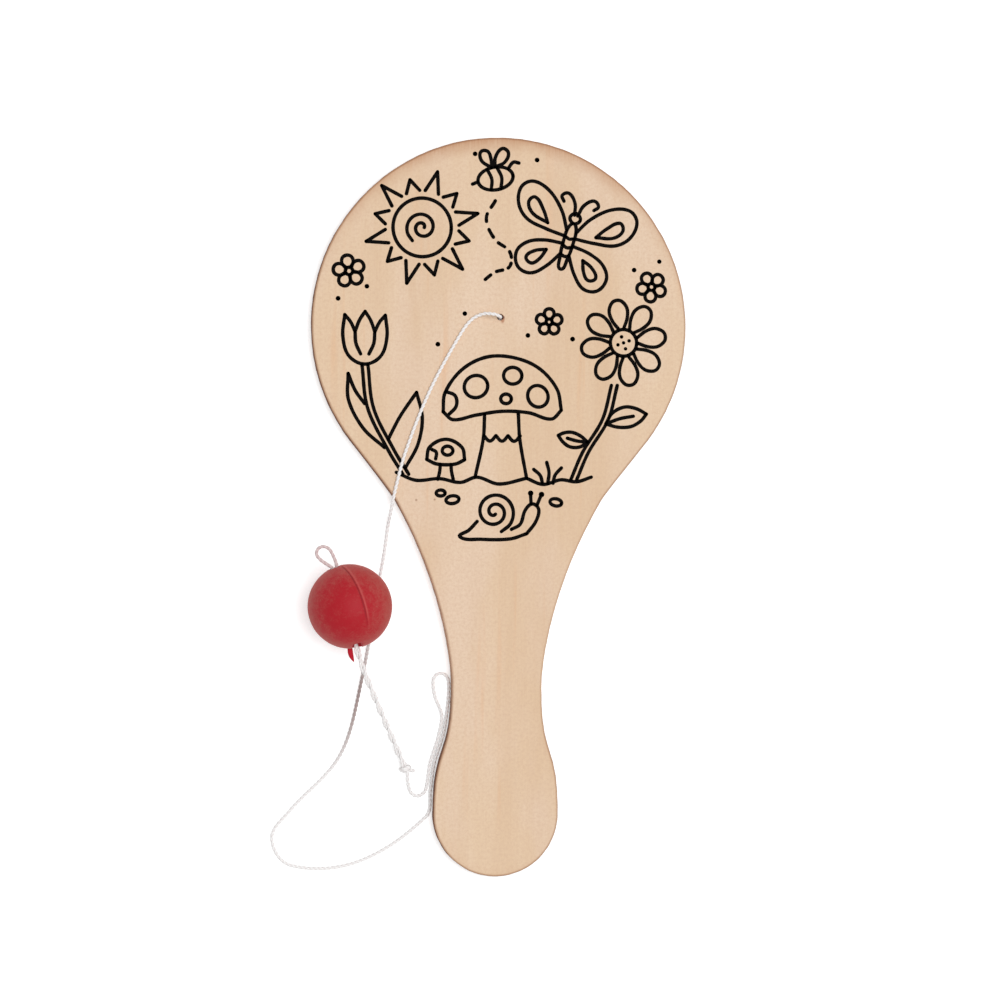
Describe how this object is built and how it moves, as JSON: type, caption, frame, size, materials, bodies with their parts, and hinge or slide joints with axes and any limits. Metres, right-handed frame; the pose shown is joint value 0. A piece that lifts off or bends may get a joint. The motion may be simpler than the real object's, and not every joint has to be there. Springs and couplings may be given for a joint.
{
  "type": "paddle ball game",
  "caption": "Paddle ball game: a flat plywood paddle with a round blade and a long handle, and a small rubber ball on a length of white elastic tied behind the blade.",
  "frame": {"origin": "centre of the round blade, on the paddle's back face, which lies on the table", "axes": "+Y along the paddle from the handle to the blade's top; +Z out of the front face, away from the table; +X to the right seen from the front, so the ball lies at -X"},
  "size_m": [0.1386, 0.248, 0.028],
  "materials": {
    "face_ply": "satin",
    "core_ply": "matte",
    "elastic": "matte",
    "ball_rubber": "matte"
  },
  "bodies": {
    "paddle": {"front_ply": "face_ply", "core_ply": "core_ply", "back_ply": "face_ply", "anchor_knot": "elastic", "elastic_cord": "elastic", "leash_knot": "elastic"},
    "leash": {"elastic_leash": "elastic"},
    "leash_end": {"bore_strands": "elastic", "stop_knot": "elastic", "end_loop": "elastic"},
    "ball": {"ball": "ball_rubber"}
  },
  "joints": [
    {"name": "ball_swing", "type": "hinge", "parent": "paddle", "child": "leash", "pos_m": [-0.0304, -0.1486, 0.0022], "axis": [0.9287, 0.3708, 0], "range_deg": [0, 120], "deforming": ["elastic_leash"]},
    {"name": "ball_stretch", "type": "slide", "parent": "leash", "child": "leash_end", "axis": [-0.3859, 0.8853, 0.2595], "range_m": [0, 0.15], "stiffness_N_per_m": 20, "deforming": ["elastic_leash"]},
    {"name": "ball_spin", "type": "hinge", "parent": "leash_end", "child": "ball", "pos_m": [-0.05194, -0.09441, 0.014], "axis": [-0.2756, 0.9613, 0], "continuous": true}
  ]
}
